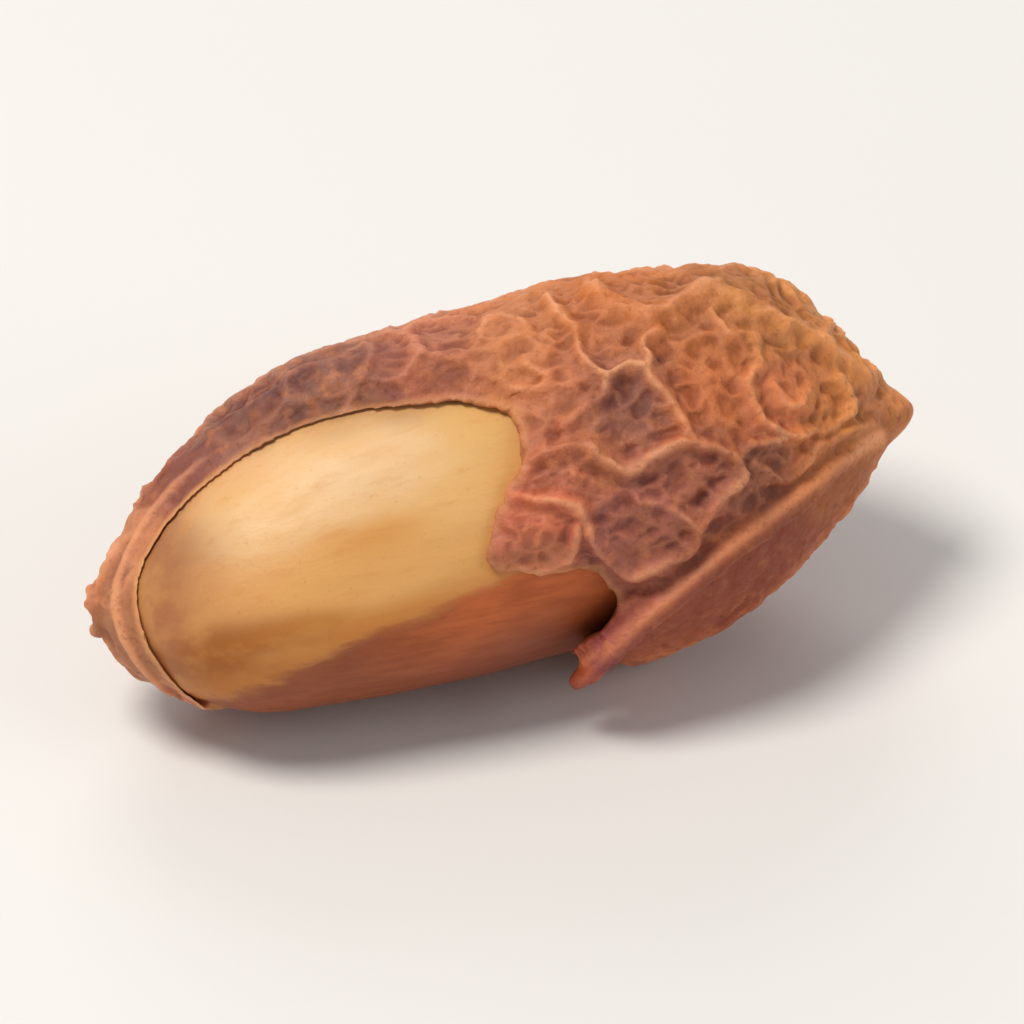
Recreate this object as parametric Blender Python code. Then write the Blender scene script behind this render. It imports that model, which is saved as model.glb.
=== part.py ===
"""A dried pistachio in its hull: a thin leathery hull, torn open over one flank, and the nut shell in it.

Both solids are modelled along +X, blunt end at -X and beaked tip at +X, with the tear facing -Y. An
empty then rolls the nut back and pitches it, so that it lies on its belly on z = 0 with the tear
looking forward and up. Units are metres, written as multiples of MM.
"""

import math

import bmesh
import bpy
from mathutils import Matrix, Vector, noise
from mathutils.bvhtree import BVHTree

MM = 0.001

# Cross-sections of the hull and of the shell, in millimetres: distance along the nut, highest point,
# lowest point, half depth. The first and last are the ends, where the section closes to a point.
HULL_SECTIONS = (
    (-11.90, -0.80, -0.80, 0.00),
    (-10.80, 0.95, -3.05, 2.30),
    (-8.20, 3.00, -5.10, 3.90),
    (-4.40, 4.50, -5.60, 4.85),
    (0.00, 4.70, -5.85, 5.10),
    (4.20, 4.70, -5.55, 4.85),
    (7.40, 4.20, -4.30, 3.85),
    (9.60, 2.45, -2.80, 2.20),
    (10.75, 0.50, -1.80, 0.95),
    (11.35, -0.30, -1.50, 0.58),
    (11.80, -0.95, -0.95, 0.00),
)
SHELL_SECTIONS = (
    (-11.15, -0.85, -0.85, 0.00),
    (-10.20, 0.70, -2.75, 1.75),
    (-7.80, 2.55, -4.35, 3.25),
    (-4.40, 3.85, -4.95, 4.00),
    (0.00, 3.95, -5.05, 4.20),
    (4.00, 3.80, -4.70, 3.95),
    (7.00, 3.15, -3.65, 3.05),
    (9.00, 1.55, -2.40, 1.75),
    (10.20, -0.65, -0.65, 0.00),
)
SEGMENTS_AROUND = 48
RINGS_ALONG = 36

FIT_GAP = 0.25 * MM  # between the shell and the inside of the hull

# The hull has dried unevenly: broad lumps push its skin in and out.
LUMP_HEIGHT = 0.16 * MM
LUMP_SPACING = 3.2 * MM
LUMP_ORIGIN = Vector((4.0, 9.0, 2.0))

# The tear is seen straight on from TEAR_SWING round towards the blunt end. Its outline is given
# there, in millimetres: distance along the nut, height. Under the belly it runs on as a rounded bite,
# given as cross-sections like the nut's own and moved back by UNDERSIDE_SHIFT.
TEAR_SWING = math.radians(13.7)
TEAR_OUTLINE = (
    (-10.75, -0.85),
    (-10.30, 0.45),
    (-9.20, 1.55),
    (-7.70, 2.35),
    (-5.90, 2.95),
    (-3.90, 3.15),
    (-1.90, 2.90),
    (-0.10, 2.50),
    (0.85, 1.75),
    (0.85, 0.60),
    (0.15, -0.50),
    (-0.55, -1.50),
    (-0.75, -2.35),
    (0.30, -2.80),
    (1.50, -3.20),
    (2.30, -3.75),
    (2.30, -4.35),
    (1.20, -5.05),
    (0.50, -5.60),
    (0.60, -7.00),
    (-4.00, -8.00),
    (-9.00, -7.00),
    (-9.25, -4.40),
    (-10.20, -3.00),
)
TEAR_FRONT = 8.0 * MM
TEAR_BACK = 1.2 * MM
OUTLINE_STEPS = 4
UNDERSIDE_SECTIONS = (
    (-9.95, -4.45, -4.45, 0.00),
    (-9.20, -3.55, -6.20, 1.60),
    (-7.30, -3.30, -7.60, 2.30),
    (-4.20, -3.70, -8.00, 2.60),
    (-1.20, -3.80, -8.00, 2.85),
    (0.40, -4.20, -7.40, 2.40),
    (1.20, -5.60, -5.60, 0.00),
)
UNDERSIDE_SHIFT = 0.25 * MM

# The keel is the hull's raised seam. It runs from the beak along the lower flank and ends past the
# tear in a free, dried-out splinter. Each row: distance along the nut, height, thickness as a share
# of KEEL_RADIUS, and how far its middle stands off the skin, in millimetres.
KEEL_ROUTE = (
    (9.90, -1.60, 0.40, -0.12),
    (8.90, -1.95, 0.80, -0.05),
    (7.40, -2.60, 1.00, 0.00),
    (5.30, -3.45, 1.00, 0.00),
    (3.90, -4.10, 0.95, 0.00),
    (2.60, -4.70, 0.90, 0.00),
    (1.50, -5.25, 0.75, 0.10),
    (0.55, -5.70, 0.50, 0.25),
)
KEEL_RADIUS = 0.40 * MM

# The scar of the stalk, a low ring on the blunt end. It lies on the skin nearest to SCAR_NEAR.
SCAR_NEAR = Vector((-11.80, 1.00, -0.60)) * MM
SCAR_RADIUS = 0.60 * MM
SCAR_LIP = 0.17 * MM

# How the nut lies.
ROLL = math.radians(-40.3)
PITCH = math.radians(-3.0)
FLAT_DEPTH = 0.16 * MM  # how much of the belly its resting spot has lost
GROUND_BLOCK = 60 * MM

HULL_COLOUR = (0.36, 0.16, 0.09, 1.0)
SHELL_COLOUR = (0.78, 0.53, 0.27, 1.0)


def clear_scene():
    for obj in list(bpy.data.objects):
        bpy.data.objects.remove(obj)


def new_collection(name):
    collection = bpy.data.collections.new(name)
    bpy.context.scene.collection.children.link(collection)
    return collection


def new_material(name, colour, roughness):
    material = bpy.data.materials.new(name)
    material.use_nodes = True
    shader = material.node_tree.nodes["Principled BSDF"]
    shader.inputs["Base Color"].default_value = colour
    shader.inputs["Roughness"].default_value = roughness
    shader.inputs["Metallic"].default_value = 0.0
    return material


def section_at(sections, turn):
    """(distance along, centre height, half height, half depth) where the form's arc has run through turn.

    The arc runs from 0 at the blunt end to pi at the tip, and a cubic passes through the sections, so
    both ends come out round.
    """
    start, end = sections[0][0], sections[-1][0]
    middle, reach = (start + end) / 2, (end - start) / 2
    turns = [math.acos(max(-1.0, min(1.0, (middle - row[0]) / reach))) for row in sections]
    high, low, depth = (cubic_through(turns, [row[i] for row in sections], turn) for i in (1, 2, 3))
    along = middle - reach * math.cos(turn)
    return along, (high + low) / 2, (high - low) / 2, depth


def cubic_through(knots, values, at):
    """The value at a place on the Catmull-Rom curve through the values at those knots."""
    last = len(knots) - 1

    def slope(i):
        before, after = max(i - 1, 0), min(i + 1, last)
        return (values[after] - values[before]) / (knots[after] - knots[before])

    i = max(j for j in range(last) if knots[j] <= at or j == 0)
    span = knots[i + 1] - knots[i]
    t = (at - knots[i]) / span
    rise = slope(i) * span * (t**3 - 2 * t**2 + t) + slope(i + 1) * span * (t**3 - t**2)
    return values[i] * (2 * t**3 - 3 * t**2 + 1) + values[i + 1] * (3 * t**2 - 2 * t**3) + rise


def nut_form(sections):
    """A sphere drawn out into the form that passes through the sections, in metres."""
    form = bmesh.new()
    bmesh.ops.create_uvsphere(form, u_segments=SEGMENTS_AROUND, v_segments=RINGS_ALONG, radius=1.0)
    for vert in form.verts:
        turn = math.acos(max(-1.0, min(1.0, -vert.co.z)))
        around = math.atan2(vert.co.y, vert.co.x)
        along, centre, half_height, half_depth = section_at(sections, turn)
        vert.co.x = along * MM
        vert.co.y = half_depth * math.cos(around) * MM
        vert.co.z = (centre + half_height * math.sin(around)) * MM
    form.normal_update()
    return form


def add_lumps(form):
    for vert, normal in [(vert, vert.normal.copy()) for vert in form.verts]:
        lump = noise.noise(vert.co / LUMP_SPACING + LUMP_ORIGIN)
        vert.co += normal * lump * LUMP_HEIGHT


def grow(form, distance):
    for vert, normal in [(vert, vert.normal.copy()) for vert in form.verts]:
        vert.co += normal * distance


def mesh_object(name, form, collection, pose):
    mesh = bpy.data.meshes.new(name)
    form.to_mesh(mesh)
    mesh.shade_smooth()
    obj = bpy.data.objects.new(name, mesh)
    collection.objects.link(obj)
    obj.parent = pose
    return obj


def as_cutter(obj):
    obj.hide_render = True
    obj.display_type = "WIRE"
    return obj


def add_boolean(obj, operation, other):
    modifier = obj.modifiers.new(f"{operation.lower()} {other.name}", "BOOLEAN")
    modifier.operation = operation
    modifier.object = other
    modifier.solver = "EXACT"


def curve_to_mesh(curve_obj, collection, pose):
    """Replaces a curve by its own mesh, with the caps welded on, because a Boolean takes no curve."""
    bpy.context.view_layer.update()
    graph = bpy.context.evaluated_depsgraph_get()
    mesh = bpy.data.meshes.new_from_object(curve_obj.evaluated_get(graph))
    form = bmesh.new()
    form.from_mesh(mesh)
    bpy.data.meshes.remove(mesh)
    form.transform(curve_obj.matrix_world)
    bmesh.ops.remove_doubles(form, verts=form.verts, dist=0.001 * MM)
    bmesh.ops.recalc_face_normals(form, faces=form.faces)
    name = curve_obj.name
    bpy.data.objects.remove(curve_obj)
    obj = mesh_object(name, form, collection, pose)
    form.free()
    return obj


def tear_frame():
    """Turns the outline's plane to face the tear: its X runs along the nut, its Y up, its Z out."""
    along = Vector((math.cos(TEAR_SWING), -math.sin(TEAR_SWING), 0.0))
    out = Vector((-math.sin(TEAR_SWING), -math.cos(TEAR_SWING), 0.0))
    return Matrix((along, (0.0, 0.0, 1.0), out)).transposed().to_4x4()


def make_tear_cutter(collection, pose):
    """A block with the tear's outline, from in front of the nut to a little behind its silhouette."""
    curve = bpy.data.curves.new("tear_cutter", "CURVE")
    curve.dimensions = "2D"
    curve.fill_mode = "BOTH"
    curve.extrude = (TEAR_FRONT - TEAR_BACK) / 2
    curve.resolution_u = OUTLINE_STEPS
    spline = curve.splines.new("BEZIER")
    spline.bezier_points.add(len(TEAR_OUTLINE) - 1)
    spline.use_cyclic_u = True
    for point, (along, height) in zip(spline.bezier_points, TEAR_OUTLINE):
        point.co = Vector((along, height, 0.0)) * MM
        point.handle_left_type = point.handle_right_type = "AUTO"
    outline = bpy.data.objects.new("tear_cutter", curve)
    collection.objects.link(outline)
    middle = Vector((0.0, 0.0, (TEAR_FRONT + TEAR_BACK) / 2))
    outline.matrix_world = tear_frame() @ Matrix.Translation(middle)
    return as_cutter(curve_to_mesh(outline, collection, pose))


def keel_points(skin):
    """The keel's route laid on the hull's skin, as places and thicknesses."""
    frame = tear_frame()
    out = frame.to_3x3() @ Vector((0.0, 0.0, 1.0))
    surface = BVHTree.FromBMesh(skin)
    points = []
    for along, height, thickness, lift in KEEL_ROUTE:
        start = frame @ (Vector((along, height, 0.0)) * MM) + out * TEAR_FRONT
        place, normal, _, _ = surface.ray_cast(start, -out)
        points.append((place + normal * lift * MM, thickness))
    return points


def make_keel(skin, collection, pose):
    curve = bpy.data.curves.new("keel", "CURVE")
    curve.dimensions = "3D"
    curve.bevel_depth = KEEL_RADIUS
    curve.bevel_resolution = 1
    curve.resolution_u = OUTLINE_STEPS
    curve.use_fill_caps = True
    points = keel_points(skin)
    spline = curve.splines.new("BEZIER")
    spline.bezier_points.add(len(points) - 1)
    for bezier, (place, thickness) in zip(spline.bezier_points, points):
        bezier.co = place
        bezier.radius = thickness
        bezier.handle_left_type = bezier.handle_right_type = "AUTO"
    seam = bpy.data.objects.new("keel", curve)
    collection.objects.link(seam)
    return as_cutter(curve_to_mesh(seam, collection, pose))


def make_underside_cutter(collection, pose):
    form = nut_form(UNDERSIDE_SECTIONS)
    form.transform(Matrix.Translation((0.0, UNDERSIDE_SHIFT, 0.0)))
    underside = mesh_object("underside_cutter", form, collection, pose)
    form.free()
    return as_cutter(underside)


def make_scar(skin, collection, pose):
    place, normal, _, _ = BVHTree.FromBMesh(skin).find_nearest(SCAR_NEAR)
    bpy.ops.mesh.primitive_torus_add(
        major_radius=SCAR_RADIUS, minor_radius=SCAR_LIP, major_segments=24, minor_segments=8
    )
    scar = bpy.context.object
    scar.name = "stalk_scar"
    for owner in list(scar.users_collection):
        owner.objects.unlink(scar)
    collection.objects.link(scar)
    scar.parent = pose
    scar.rotation_euler = normal.to_track_quat("Z", "Y").to_euler()
    scar.location = place
    return as_cutter(scar)


def make_ground(collection):
    form = bmesh.new()
    bmesh.ops.create_cube(form, size=GROUND_BLOCK)
    ground = mesh_object("ground_cutter", form, collection, None)
    form.free()
    ground.location.z = -GROUND_BLOCK / 2
    return as_cutter(ground)


def make_shell(collection, pose):
    form = nut_form(SHELL_SECTIONS)
    shell = mesh_object("nut_shell", form, collection, pose)
    form.free()
    shell.data.materials.append(new_material("nut_shell", SHELL_COLOUR, 0.45))
    return shell


def make_cavity(collection, pose):
    form = nut_form(SHELL_SECTIONS)
    grow(form, FIT_GAP)
    cavity = mesh_object("cavity_cutter", form, collection, pose)
    form.free()
    return as_cutter(cavity)


def make_hull(collection, cutters, pose):
    form = nut_form(HULL_SECTIONS)
    add_lumps(form)
    hull = mesh_object("hull", form, collection, pose)
    keel = make_keel(form, cutters, pose)
    scar = make_scar(form, cutters, pose)
    form.free()
    hull.data.materials.append(new_material("hull", HULL_COLOUR, 0.7))
    add_boolean(hull, "UNION", scar)
    add_boolean(hull, "DIFFERENCE", make_underside_cutter(cutters, pose))
    add_boolean(hull, "DIFFERENCE", make_cavity(cutters, pose))
    add_boolean(hull, "DIFFERENCE", make_tear_cutter(cutters, pose))
    add_boolean(hull, "UNION", keel)
    return hull


def world_box(obj):
    bpy.context.view_layer.update()
    graph = bpy.context.evaluated_depsgraph_get()
    evaluated = obj.evaluated_get(graph)
    corners = [evaluated.matrix_world @ vert.co for vert in evaluated.data.vertices]
    low = Vector(min(corner[i] for corner in corners) for i in range(3))
    high = Vector(max(corner[i] for corner in corners) for i in range(3))
    return low, high


def settle(pose, hull):
    """Moves the nut over the origin and down, so that the ground takes FLAT_DEPTH off its belly."""
    low, high = world_box(hull)
    middle = (low + high) / 2
    pose.location -= Vector((middle.x, middle.y, low.z + FLAT_DEPTH))


def main():
    clear_scene()
    parts = new_collection("pistachio_in_hull")
    cutters = new_collection("cutters")
    pose = bpy.data.objects.new("nut_pose", None)
    parts.objects.link(pose)
    pose.matrix_world = Matrix.Rotation(PITCH, 4, "Y") @ Matrix.Rotation(ROLL, 4, "X")
    make_shell(parts, pose)
    hull = make_hull(parts, cutters, pose)
    settle(pose, hull)
    add_boolean(hull, "DIFFERENCE", make_ground(cutters))


main()
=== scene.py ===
"""The looks of a dried pistachio in its hull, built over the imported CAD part.

Both CAD solids are turned back into the nut's own frame, in millimetres: X along the nut to its
beak, -Y out of the tear, Z up the torn flank. There the hull's skin is drawn into folds and its
torn edge is pressed to the shell. What the skin is at each point (crest, hollow, torn edge, inside,
colour) goes with it as attributes, which the materials read.
"""

import math

import bmesh
import bpy
import numpy as np
from mathutils import Matrix, Vector, noise
from mathutils.bvhtree import BVHTree
from mathutils.kdtree import KDTree


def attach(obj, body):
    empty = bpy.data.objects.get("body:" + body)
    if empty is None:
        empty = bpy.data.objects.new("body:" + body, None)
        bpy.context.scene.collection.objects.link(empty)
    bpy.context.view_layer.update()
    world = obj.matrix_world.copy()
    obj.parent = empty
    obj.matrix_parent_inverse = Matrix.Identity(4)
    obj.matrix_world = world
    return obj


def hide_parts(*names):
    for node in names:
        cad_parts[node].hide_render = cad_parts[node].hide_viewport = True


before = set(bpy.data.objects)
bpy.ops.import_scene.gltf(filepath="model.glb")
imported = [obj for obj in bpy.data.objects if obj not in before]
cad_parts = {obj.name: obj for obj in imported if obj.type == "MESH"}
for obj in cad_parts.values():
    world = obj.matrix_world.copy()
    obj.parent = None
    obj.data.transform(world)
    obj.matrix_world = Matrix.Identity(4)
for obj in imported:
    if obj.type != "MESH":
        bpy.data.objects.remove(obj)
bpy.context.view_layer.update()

MM = 0.001
FLOOR_SIZE = 12.0

# The nut's own frame in the row's: how the part was rolled, pitched and set down.
NUT = (
    Matrix.Translation((0.00009, 0.00047, 0.00553))
    @ Matrix.Rotation(math.radians(-3.0), 4, "Y")
    @ Matrix.Rotation(math.radians(-40.3), 4, "X")
    @ Matrix.Scale(MM, 4)
)

# The tear is looked at along -OUT. A place on that side is given by its distance along the nut and
# its height, both in millimetres.
SWING = math.radians(13.7)
ALONG = np.array((math.cos(SWING), -math.sin(SWING), 0.0))
OUT = np.array((-math.sin(SWING), -math.cos(SWING), 0.0))

# How small the skins' faces are, in millimetres, and the most triangles the hull's skin keeps.
HULL_VOXEL = 0.09
SHELL_VOXEL = 0.14
MOST_TRIANGLES = 190000

# About how far the hull's inside lies off the shell, and how deep its torn edge sinks in instead.
FIT_GAP = 0.22
EDGE_SINK = 0.08

# The middle of the stalk's scar on the blunt end, and the tip of the beak.
SCAR = (-11.7, 1.0, -0.6)
BEAK_TIP = (11.7, 0.0, -0.95)

# The folds beside the tear. Each gives its width and height in millimetres, then a line of places.
FOLDS = (
    (0.26, 0.16, (3.6, 4.4), (4.2, 3.7), (5.0, 3.2), (5.6, 3.2), (6.5, 3.5), (7.2, 3.2),
     (7.8, 2.7), (8.4, 2.2), (9.0, 1.8), (9.5, 1.3), (9.9, 0.8), (10.3, 0.3)),
    (0.18, 0.18, (0.6, 0.1), (1.1, 0.3), (1.9, 0.4), (2.5, 0.3), (2.8, -0.2), (3.2, -0.6),
     (3.8, -0.6), (4.5, -0.4), (5.0, -0.3), (5.5, -0.5), (6.2, -1.0), (6.3, -1.5), (5.8, -1.9),
     (5.2, -2.4), (4.7, -2.6)),
    (0.17, 0.13, (1.9, 0.9), (2.6, 1.2), (3.1, 1.4), (3.5, 1.8), (4.1, 2.0), (4.6, 1.7),
     (4.8, 1.1), (5.0, 0.4), (5.2, -0.1), (5.5, -0.5)),
    (0.13, 0.07, (7.7, 0.6), (7.9, 0.0), (8.4, -0.1), (8.7, 0.2)),
    (0.15, 0.13, (7.1, 0.5), (7.1, -0.3), (7.7, -0.8), (8.6, -0.9), (9.3, -0.7), (9.7, -0.3),
     (9.5, 0.3)),
    (0.15, 0.13, (6.7, -1.4), (7.2, -2.0), (7.7, -1.8), (8.2, -1.5), (8.9, -1.2), (9.5, -1.1),
     (10.2, -1.2)),
    (0.13, 0.12, (6.2, -1.0), (7.0, -0.9), (7.6, -0.9)),
    (0.17, 0.15, (0.2, -0.4), (0.7, -0.7), (1.3, -0.9), (1.7, -1.2), (1.9, -1.7), (2.1, -2.3),
     (2.3, -2.9), (2.7, -3.3), (3.3, -3.3), (3.9, -3.3), (4.5, -3.1), (4.7, -2.6), (4.4, -2.2),
     (4.0, -1.8), (3.4, -1.5)),
    (0.15, 0.12, (-0.5, -1.7), (-0.3, -2.2), (0.2, -2.6), (0.7, -2.5), (1.3, -2.3), (1.7, -1.8)),
    (0.14, 0.07, (0.3, 3.7), (0.5, 4.1), (1.1, 4.3), (1.5, 4.1), (1.6, 3.6), (1.1, 3.5),
     (0.5, 3.5)),
    (0.15, 0.12, (2.4, 4.3), (2.6, 4.0), (2.9, 3.3), (2.8, 2.8), (3.1, 2.3), (3.5, 1.8)),
    (0.13, 0.06, (1.4, 2.8), (1.9, 2.3), (1.4, 2.0), (1.0, 2.3)),
    (0.15, 0.12, (6.7, 2.9), (6.9, 2.2), (7.5, 2.0), (7.6, 1.4), (7.1, 0.9), (7.1, 0.5)),
    (0.14, 0.10, (5.2, 2.7), (4.6, 2.5), (4.6, 1.7)),
)

# How wide and how high they are drawn, as shares of those figures.
FOLD_WIDTH = 1.15
FOLD_HEIGHT = 1.65

# Where the skin beside the tear has sunk: place, reach and depth in millimetres.
HOLLOWS = (
    (3.7, 1.0, 0.90, 0.16),
    (6.8, -1.5, 0.45, 0.12),
    (5.0, -1.2, 0.50, 0.08),
    (3.3, -2.5, 0.80, 0.10),
    (4.3, -3.55, 0.35, 0.16),
    (5.6, -2.9, 0.40, 0.16),
    (7.3, -2.25, 0.35, 0.12),
    (8.3, 1.2, 0.50, 0.08),
    (9.3, 0.55, 0.30, 0.10),
)

# Colours as one sees them (sRGB, 0 to 255).
TAN = (206, 142, 90)
ORANGE = (188, 112, 68)
RUST = (170, 84, 50)
PINK = (190, 104, 84)
PURPLE = (128, 72, 70)
MAROON = (116, 50, 48)
MAGENTA = (122, 52, 64)
BROWN = (112, 62, 48)
CREAM = (232, 184, 122)

# The hull's colours on the torn side: place, reach in millimetres, colour.
PATCHES = (
    (7.0, 4.0, 1.6, (154, 98, 56)),
    (8.8, 2.4, 1.5, TAN),
    (4.6, 4.4, 1.6, (180, 106, 62)),
    (1.3, 4.1, 1.3, (182, 116, 78)),
    (-1.0, 4.2, 1.2, (160, 98, 80)),
    (-3.0, 4.6, 0.8, (120, 74, 66)),
    (-6.5, 4.0, 1.5, (108, 70, 66)),
    (-4.2, 4.0, 1.2, (96, 60, 58)),
    (-8.8, 2.8, 1.2, (144, 90, 78)),
    (-10.6, 0.8, 1.1, (196, 136, 104)),
    (-11.2, -1.8, 1.4, (196, 138, 104)),
    (10.2, 0.3, 1.5, (202, 134, 82)),
    (11.4, -1.0, 0.9, (224, 148, 112)),
    (10.6, -0.6, 0.8, (204, 132, 82)),
    (9.4, -0.9, 0.8, (190, 122, 72)),
    (6.4, 1.1, 1.3, (178, 104, 70)),
    (8.0, 0.3, 0.9, (204, 118, 86)),
    (3.7, 1.2, 1.0, (100, 60, 60)),
    (2.2, 1.9, 0.8, (176, 108, 80)),
    (1.6, -0.1, 0.8, (168, 98, 76)),
    (0.7, -1.1, 0.8, PINK),
    (0.3, -2.3, 0.7, (194, 122, 96)),
    (3.2, -2.5, 1.2, (142, 82, 78)),
    (5.0, -1.2, 0.8, (140, 82, 72)),
    (6.8, -1.8, 0.7, BROWN),
    (4.4, -3.6, 0.6, (104, 54, 46)),
    (8.6, -2.4, 0.9, (186, 116, 74)),
    (6.4, -4.3, 1.5, (146, 74, 54)),
    (3.8, -5.2, 1.2, (158, 86, 66)),
    (9.4, -2.9, 1.0, (160, 90, 60)),
)

# The hull's colours on the far side, drifting into each other: colour, size in millimetres, seed of
# its noise, and the noise at which it begins and is full.
DRIFTS = (
    (PURPLE, 3.0, 61.0, -0.25, 0.25),
    (ORANGE, 3.4, 67.0, 0.05, 0.40),
    (PINK, 2.2, 71.0, 0.10, 0.45),
    (MAGENTA, 2.6, 77.0, 0.10, 0.40),
    (TAN, 2.8, 83.0, 0.22, 0.50),
    (RUST, 1.5, 87.0, 0.20, 0.50),
)

# The keel's line on the torn side, from the beak to the end of its splinter.
KEEL = (
    (10.3, -1.5), (8.9, -1.95), (7.4, -2.6), (5.3, -3.45),
    (3.9, -4.1), (2.6, -4.7), (1.5, -5.25), (0.2, -5.9),
)

# The shell's colours on the torn side: place, reach along and across in millimetres, colour.
SHELL_PATCHES = (
    (-3.4, 1.3, 2.6, 1.1, (230, 190, 142)),
    (-2.5, 2.9, 2.6, 0.7, (184, 132, 78)),
    (-0.2, 1.5, 1.3, 1.2, (218, 168, 94)),
    (-6.4, 0.8, 2.0, 1.3, (232, 186, 130)),
    (-9.7, 0.3, 1.5, 1.6, (158, 94, 58)),
    (-10.3, -1.6, 1.0, 1.0, (176, 108, 70)),
    (-3.9, -0.7, 1.3, 0.4, (212, 142, 66)),
    (-1.4, -0.3, 1.4, 0.8, (228, 176, 110)),
    (-1.6, -1.6, 1.6, 0.5, (222, 164, 96)),
    (-5.2, -1.5, 2.0, 0.7, (226, 166, 96)),
    (-7.3, -1.2, 1.4, 0.7, (222, 158, 96)),
    (-8.4, -2.8, 1.6, 0.8, (156, 84, 20)),
    (-5.8, -2.7, 1.8, 0.35, (196, 124, 50)),
    (-8.0, 2.4, 1.5, 0.8, (214, 150, 96)),
    (0.8, -0.3, 0.9, 1.2, (214, 150, 84)),
)

# The line of the shell's seam on the torn side.
SEAM = (
    (-12.0, -3.0), (-9.8, -3.55), (-8.4, -3.65), (-6.5, -3.5), (-4.5, -3.15),
    (-2.8, -2.9), (-1.1, -2.6), (1.0, -2.3), (12.0, -1.2),
)


def step(value, low, high):
    """0 below low, 1 above high, and an even turn between them."""
    t = np.clip((value - low) / (high - low), 0.0, 1.0)
    return t * t * (3.0 - 2.0 * t)


def mixed(a, b, share):
    """From a at a share of 0 to b at a share of 1, point by point."""
    return a + (b - a) * share[:, None]


def linear(colour):
    """A colour as one sees it (sRGB, 0 to 255) in the linear values that a shader takes."""
    c = np.asarray(colour, float) / 255.0
    return np.where(c <= 0.04045, c / 12.92, ((c + 0.055) / 1.055) ** 2.4)


def noise_at(points, size, seed):
    """Smooth noise, about -1 to 1, with lumps of that size in millimetres."""
    offset = Vector((seed, 2.0 * seed, -seed))
    return np.array([noise.noise(Vector(p) / size + offset) for p in points])


def noise_vectors(points, size, seed):
    """Smooth noise for each of the three axes."""
    return np.column_stack([noise_at(points, size, seed + shift) for shift in (0.3, 37.6, 71.9)])


def cell_walls(points, size, seed):
    """How far each point is from the nearest wall between cells of about that size."""
    offset = Vector((seed, seed, seed))
    found = np.empty(len(points))
    for i, p in enumerate(points):
        near = noise.voronoi(Vector(p) / size + offset)[0]
        found[i] = near[1] - near[0]
    return found * size / 2.0


def places(points):
    """Where points are as seen through the tear: distance along the nut, height."""
    return np.column_stack((points @ ALONG, points[:, 2]))


def smooth_line(line, parts=4):
    """A curve through the line's places, with that many parts between each two."""
    line = np.array((line[0], *line, line[-1]), float)
    t = np.arange(parts)[:, None] / parts
    curve = []
    for a, b, c, d in zip(line, line[1:], line[2:], line[3:]):
        bend = 2 * a - 5 * b + 4 * c - d + t * (3 * (b - c) + d - a)
        curve.append(b + 0.5 * t * (c - a + t * bend))
    return np.vstack((*curve, line[-1:]))


def line_distance(spots, line):
    """How far each spot is from a line of places."""
    best = np.full(len(spots), 1e9)
    for start, end in zip(line, line[1:]):
        a, run = np.array(start), np.array(end) - np.array(start)
        t = np.clip((spots - a) @ run / (run @ run), 0.0, 1.0)
        best = np.minimum(best, np.linalg.norm(spots - a - t[:, None] * run, axis=1))
    return best


def points_of(mesh):
    values = np.empty(len(mesh.vertices) * 3, np.float32)
    mesh.vertices.foreach_get("co", values)
    return values.reshape(-1, 3).astype(float)


def normals_of(mesh):
    values = np.empty(len(mesh.vertices) * 3, np.float32)
    mesh.vertex_normals.foreach_get("vector", values)
    return values.reshape(-1, 3).astype(float)


def move_to(mesh, points):
    mesh.vertices.foreach_set("co", points.astype(np.float32).ravel())
    mesh.update()


def store(mesh, name, values):
    """Keeps a number or a colour for each point of the mesh, as an attribute."""
    kind = "FLOAT" if values.ndim == 1 else "FLOAT_COLOR"
    attribute = mesh.attributes.new(name, kind, "POINT")
    if values.ndim == 1:
        attribute.data.foreach_set("value", values.astype(np.float32))
        return
    colours = np.column_stack((values, np.ones(len(values))))
    attribute.data.foreach_set("color", colours.astype(np.float32).ravel())


def applied(obj):
    """Puts what the object's modifiers make in place of its mesh."""
    graph = bpy.context.evaluated_depsgraph_get()
    obj.data = bpy.data.meshes.new_from_object(obj.evaluated_get(graph))
    obj.modifiers.clear()


def fuller(points):
    """Swells the nut a little, low on its blunt end."""
    share = np.exp(-(((points[:, 0] + 9.4) / 2.2) ** 2)) * step(-points[:, 2], 0.0, 2.6)
    return points + share[:, None] * np.array((-0.10, -0.06, -0.36))


def fine_copy(node, name, voxel, smoothing):
    """A copy of a CAD solid with small even faces, in the nut's own frame."""
    form = bmesh.new()
    form.from_mesh(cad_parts[node].data)
    bmesh.ops.remove_doubles(form, verts=form.verts, dist=0.001 * MM)
    form.transform(NUT.inverted())
    mesh = bpy.data.meshes.new(name)
    form.to_mesh(mesh)
    form.free()
    obj = bpy.data.objects.new(name, mesh)
    bpy.context.scene.collection.objects.link(obj)
    even = obj.modifiers.new("even faces", "REMESH")
    even.mode = "VOXEL"
    even.voxel_size = voxel
    soft = obj.modifiers.new("soft edges", "SMOOTH")
    soft.factor = 0.5
    soft.iterations = smoothing
    applied(obj)
    move_to(obj.data, fuller(points_of(obj.data)))
    obj.data.shade_smooth()
    return obj


def shell_side(points, normals, shell):
    """The nearest places on the shell, the way from each to its point, and how far that is.

    The last value is 1 where the skin faces away from the shell and -1 where it faces it.
    """
    near = np.array([shell.find_nearest(Vector(p))[0] for p in points])
    away = points - near
    gap = np.linalg.norm(away, axis=1)
    away /= np.maximum(gap, 1e-6)[:, None]
    return near, away, gap, np.einsum("ij,ij->i", away, normals)


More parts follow.
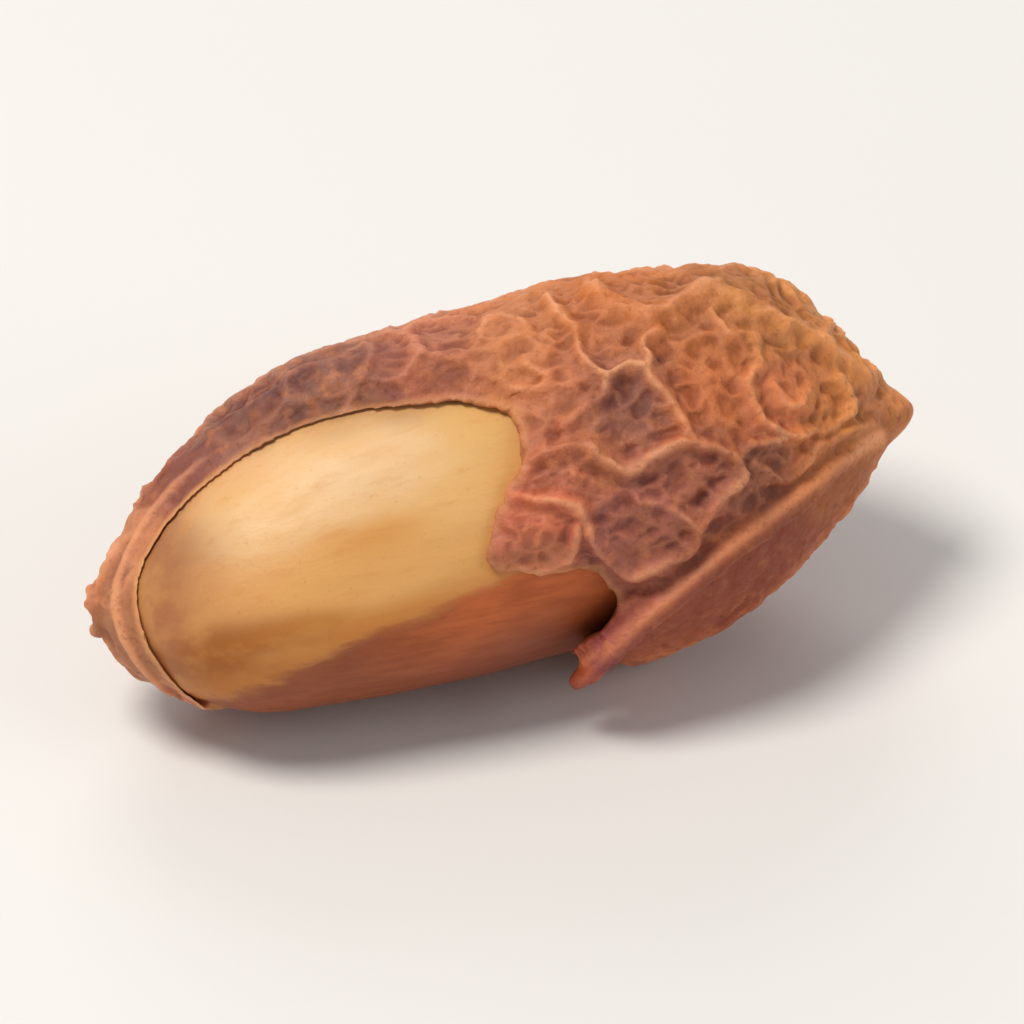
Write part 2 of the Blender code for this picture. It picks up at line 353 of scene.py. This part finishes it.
def rim_distance(points, gap, side):
    """How far each point is from the torn edge, where the skin turns from outside to inside."""
    scar = np.linalg.norm(points - np.array(SCAR), axis=1)
    keel = line_distance(places(points), KEEL)
    farthest = np.where(keel < 1.0, 0.72, 0.95)
    turning = (np.abs(side) < 0.5) & (gap > 0.1) & (gap < farthest) & (scar > 1.3)
    found = np.flatnonzero(turning)
    tree = KDTree(len(found))
    for i, index in enumerate(found):
        tree.insert(points[index], i)
    tree.balance()
    return np.array([tree.find(p)[2] for p in points])


def torn_side(points):
    """1 on the side of the nut that the tear looks out of, 0 on the far side."""
    return step(-points[:, 1], -1.6, 0.2)


def keel_share(points, reach):
    """1 on the keel, falling to 0 at about twice that reach beside it."""
    return np.exp(-((line_distance(places(points), KEEL) / reach) ** 2)) * torn_side(points)


def tear_edge(hull, shell):
    """Makes the torn edge ragged where it crosses the nut, and presses it thin onto the shell.

    It stays stout low on the blunt end, and the keel stands clear. Gives back how far each point is
    from the edge and which way it faces.
    """
    points, normals = points_of(hull), normals_of(hull)
    _, away, gap, side = shell_side(points, normals, shell)
    rim = rim_distance(points, gap, side)
    ragged = (1.0 - step(rim, 0.1, 1.0)) * (0.15 + 0.85 * step(points[:, 0], -2.5, 0.0))
    ragged = ragged * (1.0 - keel_share(points, 0.5))
    shift = noise_vectors(points, 0.9, 5.0) * 0.24 + noise_vectors(points, 0.32, 9.0) * 0.12
    shift -= away * np.einsum("ij,ij->i", shift, away)[:, None]
    points = points + shift * ragged[:, None]
    near, away, gap, _ = shell_side(points, normals, shell)
    close = (1.0 - step(gap, 0.8, 1.2)) * (1.0 - step(rim, 0.15, 1.5))
    close = close * (1.0 - keel_share(points, 0.3))
    stout = (1.0 - step(points[:, 0], -9.6, -7.6)) * (1.0 - step(points[:, 2], -2.6, -0.6))
    pressed = np.maximum(gap - FIT_GAP, 0.0) * (0.44 + 0.36 * stout) - EDGE_SINK
    gap_now = gap + (pressed - gap) * close
    move_to(hull, near + away * gap_now[:, None])
    return rim, side


def drawn_folds(points, facing):
    """The folds beside the tear: how high each point stands, how much of a crest, how sunk."""
    bent = points + noise_vectors(points, 0.8, 3.0) * 0.16 + noise_vectors(points, 0.35, 5.0) * 0.06
    spots = places(bent)
    strength = np.clip(1.0 + 0.6 * noise_at(points, 1.3, 15.0), 0.4, 1.3)
    height, crest, groove = np.zeros((3, len(points)))
    for width, rise, *line in FOLDS:
        reach = line_distance(spots, smooth_line(line)) / (width * FOLD_WIDTH)
        profile = np.exp(-(reach**1.5)) * strength
        height = np.maximum(height, profile * rise * FOLD_HEIGHT)
        crest = np.maximum(crest, profile)
        groove = np.maximum(groove, np.exp(-((reach - 2.1) ** 2)) * rise * 0.55)
    sunk = groove * (1.0 - crest)
    for along, up, reach, depth in HOLLOWS:
        away = np.linalg.norm(spots - np.array((along, up)), axis=1)
        sunk = np.maximum(sunk, depth * np.exp(-((away / reach) ** 2)) * (1.0 - 0.7 * crest))
    return height * facing, crest * facing, sunk * facing


def network(points, size, bend, seed):
    """A winding net of thin crests with flat hollows of about that size between them."""
    bent = points + noise_vectors(points, size * 1.1, seed) * bend
    bent += noise_vectors(points, size * 0.4, seed + 3.0) * bend * 0.3
    wall = cell_walls(bent * np.array((0.72, 1.0, 1.0)), size, seed)
    return np.exp(-((wall / (0.10 * size + 0.05)) ** 2))


def calm_share(points, facing, drawn):
    """How calm the skin is: below the keel, on the strip over the tear, here and there behind."""
    spots = places(points)
    below_keel = drawn * step(-(spots[:, 1] + 1.3 + (10.0 - spots[:, 0]) * 0.50), 0.0, 0.4)
    strip = facing * (1.0 - step(spots[:, 0], -3.0, 0.0))
    behind = step(noise_at(points, 3.5, 21.0), 0.0, 0.5) * 0.4 * (1.0 - drawn)
    return np.clip(below_keel * 0.75 + strip * 0.45 + behind, 0.0, 0.9)


def wrinkle(hull, rim, side):
    """Draws the hull's skin into folds and hollows, with a lip round the blunt end's torn edge.

    Gives back how much of a crest and of a hollow each point is.
    """
    points, normals = points_of(hull), normals_of(hull)
    spots = places(points)
    blunt = 1.0 - step(points[:, 0], -9.4, -6.5)
    outside = step(side, 0.15, 0.7)
    facing = step(normals @ OUT, 0.05, 0.45)
    drawn = facing * step(spots[:, 0], -1.5, 0.5)
    keel = keel_share(points, 0.5)
    folds, fold_crest, sunk = drawn_folds(points, drawn)
    calm = calm_share(points, facing, drawn)
    wide = network(points, 1.45, 0.75, 11.0)
    fine = network(points, 0.62, 0.30, 17.0)
    wide_share = (1.0 - 0.65 * drawn) * (1.0 - calm)
    fine_share = (1.0 - calm) * (0.9 - 0.05 * drawn)
    lip = np.exp(-(((rim - 0.75) / 0.16) ** 2)) * blunt * facing
    height = folds - sunk
    height += (wide * 0.26 - 0.12) * wide_share
    height += (fine * 0.12 - 0.05) * fine_share
    height += noise_at(points, 2.6, 31.0) * 0.16
    height += noise_at(points, 0.5, 41.0) * 0.04
    blunt_rim = blunt * (1.0 - step(rim, 0.6, 1.6))
    height *= (0.35 + 0.65 * step(rim, 0.05, 0.6)) * (1.0 - 0.8 * blunt_rim)
    height = (height + lip * 0.13) * outside
    height *= 1.0 - 0.9 * keel
    splinter = keel_share(points, 0.45) * (1.0 - step(spots[:, 0], 1.4, 3.0))
    height += splinter * 0.13
    off_tip = step(np.linalg.norm(points - np.array(BEAK_TIP), axis=1), 0.4, 1.5)
    height *= 0.2 + 0.8 * off_tip
    move_to(hull, points + normals * height[:, None])
    # The hull's colour reads these shares: painted highlight on the crests, painted shade in the
    # hollows.
    crest = np.maximum(fold_crest, np.maximum(wide * wide_share, fine * fine_share * 0.75))
    crest = np.maximum(np.maximum(crest, lip) * (1.0 - keel), keel_share(points, 0.24))
    hollow = np.clip(sunk / 0.2 + (1.0 - wide) * wide_share * 0.5, 0.0, 1.0) * (1.0 - keel)
    return crest * outside, hollow * outside


def hull_tint(points, facing):
    """The hull's colour: patches on the torn side, a drift of dried-skin colours elsewhere."""
    bent = points + noise_vectors(points, 1.4, 51.0) * 0.55
    drift = linear(MAROON) + np.zeros((len(points), 3))
    for colour, size, seed, low, high in DRIFTS:
        drift = mixed(drift, linear(colour), step(noise_at(bent, size, seed), low, high) * 0.85)
    total = np.full(len(points), 0.06)
    tint = drift * 0.06
    spots = places(bent)
    for along, up, reach, colour in PATCHES:
        away = np.linalg.norm(spots - np.array((along, up)), axis=1)
        share = np.exp(-((away / reach) ** 2)) * facing
        tint += linear(colour) * share[:, None]
        total += share
    return tint / total[:, None]


def flatten(points):
    """Keeps the visible skin on or above the floor the nut rests on."""
    rows = np.array(NUT)
    lifted = points @ rows[:3, :3].T + rows[:3, 3]
    lifted[:, 2] = np.maximum(lifted[:, 2], 0.0)
    return lifted


def thin_out(obj, most):
    """Takes faces out where the skin is smoothest, until that many triangles are left at most."""
    obj.data.calc_loop_triangles()
    triangles = len(obj.data.loop_triangles)
    if triangles > most:
        fewer = obj.modifiers.new("fewer faces", "DECIMATE")
        fewer.ratio = most / triangles
        applied(obj)
        obj.data.shade_smooth()


def make_hull(shell_tree):
    """The hull's skin, with its attributes, in the row's frame."""
    obj = fine_copy("hull", "hull_skin", HULL_VOXEL, 4)
    mesh = obj.data
    rim, side = tear_edge(mesh, shell_tree)
    crest, hollow = wrinkle(mesh, rim, side)
    points = points_of(mesh)
    near_blunt = 1.0 - step(points[:, 0], -8.5, -6.0)
    inside = step(-side, 0.1, 0.6)
    store(mesh, "crest", crest)
    store(mesh, "hollow", hollow)
    store(mesh, "edge", (1.0 - step(rim, 0.05, 0.32)) * (0.45 + 0.55 * near_blunt))
    store(mesh, "inside", inside * step(rim, 0.1, 0.35))
    store(mesh, "tint", hull_tint(points, torn_side(points)))
    thin_out(obj, MOST_TRIANGLES)
    move_to(obj.data, flatten(points_of(obj.data)))
    return obj


def shell_tint(points, front):
    """The shell's colour above its seam: patches on the torn side, cream elsewhere."""
    bent = points + noise_vectors(points, 1.6, 91.0) * 0.35
    total = np.full(len(points), 0.03)
    tint = linear(CREAM) * 0.03 + np.zeros((len(points), 3))
    spots = places(bent)
    for along, up, reach, across, colour in SHELL_PATCHES:
        away = ((spots[:, 0] - along) / reach) ** 2 + ((spots[:, 1] - up) / across) ** 2
        share = np.exp(-away) * front
        tint += linear(colour) * share[:, None]
        total += share
    return tint / total[:, None]


def make_shell():
    """The nut shell's skin in the row's frame, and a tree of its faces in the nut's own frame."""
    obj = fine_copy("nut_shell", "nut_shell_skin", SHELL_VOXEL, 3)
    mesh = obj.data
    points, normals = points_of(mesh), normals_of(mesh)
    tree = BVHTree.FromPolygons(points.tolist(), [list(p.vertices) for p in mesh.polygons])
    spots = places(points)
    front = step(normals @ OUT, -0.1, 0.2)
    seam_up = np.interp(spots[:, 0], [s[0] for s in SEAM], [s[1] for s in SEAM])
    above = spots[:, 1] - seam_up + noise_at(points, 1.6, 7.0) * 0.10
    ledge = 0.13 * np.exp(-np.abs(above) / np.where(above > 0, 0.75, 0.35)) * front
    ledge += noise_at(points, 2.4, 13.0) * 0.05
    stretched = points * np.array((0.25, 1.0, 1.0))
    ledge += noise_at(stretched, 0.5, 19.0) * 0.018
    # Off the torn side the height stands in, so the shell's lower part there also gets the brown
    # with its painted shade.
    store(mesh, "above", np.where(front > 0.5, above, points[:, 2] + 3.0))
    store(mesh, "tint", shell_tint(points, front))
    move_to(mesh, flatten(points + normals * (ledge - 0.01)[:, None]))
    return obj, tree


class Nodes:
    """Adds nodes to a material and joins them up."""

    def __init__(self, name):
        self.material = bpy.data.materials.new(name)
        self.material.use_nodes = True
        self.tree = self.material.node_tree
        self.shader = self.tree.nodes["Principled BSDF"]

    def add(self, kind, settings=None, **inputs):
        node = self.tree.nodes.new(kind)
        for key, value in (settings or {}).items():
            setattr(node, key, value)
        for key, value in inputs.items():
            self.put(node.inputs[key.replace("_", " ")], value)
        return node

    def put(self, socket, value):
        if isinstance(value, bpy.types.NodeSocket):
            self.tree.links.new(value, socket)
        else:
            socket.default_value = value

    def attribute(self, name, output="Fac"):
        return self.add("ShaderNodeAttribute", {"attribute_name": name}).outputs[output]

    def where(self, stretch=(1.0, 1.0, 1.0)):
        """Places on the object in millimetres."""
        place = self.add("ShaderNodeTexCoord").outputs["Object"]
        scale = tuple(s / MM for s in stretch)
        return self.add("ShaderNodeMapping", None, Vector=place, Scale=scale).outputs["Vector"]

    def noise(self, vector, size, detail=4.0, rough=0.55):
        """Noise, 0 to 1, with lumps of that size in millimetres."""
        node = self.add("ShaderNodeTexNoise", None, Vector=vector, Scale=1.0 / size)
        self.put(node.inputs["Detail"], detail)
        self.put(node.inputs["Roughness"], rough)
        return node.outputs["Fac"]

    def ramp(self, value, low, high, start=0.0, end=1.0):
        """From start where the value is low to end where it is high."""
        node = self.add("ShaderNodeMapRange", {"interpolation_type": "SMOOTHSTEP"}, Value=value)
        self.put(node.inputs["From Min"], low)
        self.put(node.inputs["From Max"], high)
        self.put(node.inputs["To Min"], start)
        self.put(node.inputs["To Max"], end)
        return node.outputs["Result"]

    def math(self, operation, a, b):
        node = self.add("ShaderNodeMath", {"operation": operation})
        self.put(node.inputs[0], a)
        self.put(node.inputs[1], b)
        return node.outputs["Value"]

    def mix(self, share, a, b):
        """Colour a at a share of 0, colour b at 1. Each is a socket or a colour as one sees it."""
        node = self.add("ShaderNodeMix", {"data_type": "RGBA"})
        self.put(node.inputs[0], share)
        for socket, value in ((node.inputs[6], a), (node.inputs[7], b)):
            linked = isinstance(value, bpy.types.NodeSocket)
            self.put(socket, value if linked else (*linear(value), 1.0))
        return node.outputs[2]

    def bump(self, height, distance, strength, normal=None):
        node = self.add("ShaderNodeBump", None, Height=height, Strength=strength)
        self.put(node.inputs["Distance"], distance * MM)
        if normal is not None:
            self.put(node.inputs["Normal"], normal)
        return node.outputs["Normal"]


def hull_material():
    n = Nodes("hull")
    where = n.where()
    crest, hollow = n.attribute("crest"), n.attribute("hollow")
    edge, inside = n.attribute("edge"), n.attribute("inside")
    blotch = n.noise(where, 0.9, 5.0, 0.6)
    grain = n.noise(where, 0.22, 6.0, 0.65)
    colour = n.attribute("tint", "Color")
    colour = n.mix(n.ramp(blotch, 0.38, 0.66, 0.0, 0.30), colour, (146, 76, 54))
    pale = n.noise(where, 0.45, 3.0)
    colour = n.mix(n.ramp(pale, 0.5, 0.7, 0.0, 0.30), colour, (206, 134, 92))
    # Painted shade: the hollows between the folds are darkened toward (92, 42, 36).
    colour = n.mix(n.math("MULTIPLY", hollow, 0.70), colour, (92, 42, 36))
    # Painted highlight: crests, the lip and the keel are lifted up to 1.5 times brighter and
    # painted pale (234, 172, 132), and the skin between them is dulled to 0.88, as painted light
    # and shade on the relief.
    lit = n.add("ShaderNodeVectorMath", {"operation": "SCALE"})
    n.put(lit.inputs[0], colour)
    n.put(lit.inputs["Scale"], n.ramp(crest, 0.0, 1.0, 0.88, 1.50))
    crest_highlight = n.math("MULTIPLY", n.math("POWER", crest, 2.0), 0.46)
    colour = n.mix(crest_highlight, lit.outputs[0], (234, 172, 132))
    colour = n.mix(n.ramp(grain, 0.52, 0.72, 0.0, 0.38), colour, (92, 46, 38))
    colour = n.mix(n.math("MULTIPLY", edge, 0.85), colour, (226, 166, 120))
    colour = n.mix(inside, colour, (116, 62, 40))
    vivid = n.add("ShaderNodeHueSaturation", None, Saturation=1.10, Color=colour)
    n.put(n.shader.inputs["Base Color"], vivid.outputs["Color"])
    rough = n.ramp(grain, 0.3, 0.7, 0.50, 0.72)
    rough = n.math("SUBTRACT", rough, n.math("MULTIPLY", crest, 0.14))
    n.put(n.shader.inputs["Roughness"], rough)
    n.put(n.shader.inputs["Specular IOR Level"], 0.4)
    n.put(n.shader.inputs["Subsurface Weight"], 0.05)
    n.put(n.shader.inputs["Subsurface Radius"], (1.0, 0.45, 0.25))
    n.put(n.shader.inputs["Subsurface Scale"], 0.3 * MM)
    leather = n.bump(n.noise(where, 0.30, 6.0, 0.6), 0.10, 0.8)
    n.put(n.shader.inputs["Normal"], n.bump(grain, 0.04, 0.7, leather))
    return n.material


def shell_material():
    n = Nodes("nut_shell")
    where = n.where()
    above = n.attribute("above")
    streak = n.noise(n.where((0.22, 1.0, 1.0)), 0.35, 5.0, 0.6)
    cloud = n.noise(n.where((0.5, 1.0, 1.0)), 1.3, 4.0)
    grain = n.noise(where, 0.15, 4.0)
    cream = n.attribute("tint", "Color")
    cream = n.mix(n.ramp(cloud, 0.40, 0.68, 0.0, 0.4), cream, (226, 168, 96))
    cream = n.mix(n.ramp(streak, 0.50, 0.80, 0.0, 0.36), cream, (206, 134, 62))
    cream = n.mix(n.ramp(above, 0.9, 0.0, 0.0, 0.8), cream, (198, 124, 54))
    # Below the seam the shell is coloured brown: partly its own stain, partly painted shade on the
    # lower valve where it turns down away from the light.
    brown = n.mix(n.ramp(streak, 0.35, 0.7), (206, 104, 44), (176, 84, 36))
    along = n.add("ShaderNodeSeparateXYZ", None, Vector=where).outputs["X"]
    # Painted shade: the lower part darkens further towards the bottom, to (132, 62, 32).
    brown = n.mix(n.ramp(above, -0.6, -2.4), brown, (132, 62, 32))
    brown = n.mix(n.ramp(along, -1.5, -6.5, 0.0, 0.65), brown, (112, 54, 26))
    wobble = n.math("ADD", above, n.ramp(streak, 0.3, 0.7, -0.16, 0.16))
    colour = n.mix(n.ramp(wobble, -0.30, 0.16), brown, cream)
    colour = n.mix(n.ramp(grain, 0.6, 0.8, 0.0, 0.25), colour, (150, 88, 44))
    n.put(n.shader.inputs["Base Color"], colour)
    n.put(n.shader.inputs["Roughness"], n.ramp(streak, 0.3, 0.7, 0.42, 0.56))
    n.put(n.shader.inputs["Specular IOR Level"], 0.35)
    n.put(n.shader.inputs["Subsurface Weight"], 0.06)
    n.put(n.shader.inputs["Subsurface Radius"], (1.0, 0.6, 0.3))
    n.put(n.shader.inputs["Subsurface Scale"], 0.4 * MM)
    lines = n.bump(streak, 0.05, 0.5)
    n.put(n.shader.inputs["Normal"], n.bump(grain, 0.015, 0.5, lines))
    return n.material


def floor_material():
    n = Nodes("floor")
    n.put(n.shader.inputs["Base Color"], (0.78, 0.765, 0.74, 1.0))
    n.put(n.shader.inputs["Roughness"], 0.9)
    return n.material


def make_floor():
    bpy.ops.mesh.primitive_plane_add(size=FLOOR_SIZE)
    floor = bpy.context.object
    floor.name = "floor"
    floor.data.materials.append(floor_material())


def look_at(obj, target):
    """Turns a light or camera so that it looks at the target."""
    obj.rotation_euler = (target - obj.location).to_track_quat("-Z", "Y").to_euler()


def add_light(name, place, size, power, colour):
    light = bpy.data.lights.new(name, "AREA")
    light.shape = "DISK"
    light.size = size
    light.energy = power
    light.color = colour
    obj = bpy.data.objects.new(name, light)
    bpy.context.scene.collection.objects.link(obj)
    obj.location = place
    look_at(obj, Vector((0.0, 0.0, 0.005)))


def add_camera(azimuth, elevation, distance, lens):
    """Looks at the nut from an azimuth and elevation in degrees, 0 being from the front."""
    a, e = math.radians(azimuth), math.radians(elevation)
    target = Vector((0.0002, 0.0, 0.0047))
    back = Vector((math.sin(a) * math.cos(e), -math.cos(a) * math.cos(e), math.sin(e)))
    data = bpy.data.cameras.new("camera")
    data.lens = lens
    data.clip_start = 0.01
    camera = bpy.data.objects.new("camera", data)
    bpy.context.scene.collection.objects.link(camera)
    camera.location = target + back * distance
    look_at(camera, target)
    bpy.context.scene.camera = camera


def light_world():
    world = bpy.data.worlds.new("studio")
    world.use_nodes = True
    background = world.node_tree.nodes["Background"]
    background.inputs["Color"].default_value = (0.95, 0.97, 1.0, 1.0)
    background.inputs["Strength"].default_value = 0.32
    bpy.context.scene.world = world


shell, shell_tree = make_shell()
hull = make_hull(shell_tree)
for piece, node, material in (
    (shell, "nut_shell", shell_material()),
    (hull, "hull", hull_material()),
):
    piece.data.materials.clear()
    piece.data.materials.append(material)
    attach(piece, "root")
    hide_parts(node)

make_floor()
light_world()
add_light("key", (-0.12, 0.0, 0.28), 0.12, 0.72, (1.0, 0.96, 0.90))
add_light("fill", (0.24, -0.20, 0.16), 0.2, 0.22, (0.98, 0.97, 1.0))
add_light("back", (0.05, 0.26, 0.18), 0.18, 0.25, (1.0, 0.98, 0.95))
add_camera(-19.5, 38.0, 0.30, 385.0)
bpy.context.scene.view_settings.view_transform = "Standard"
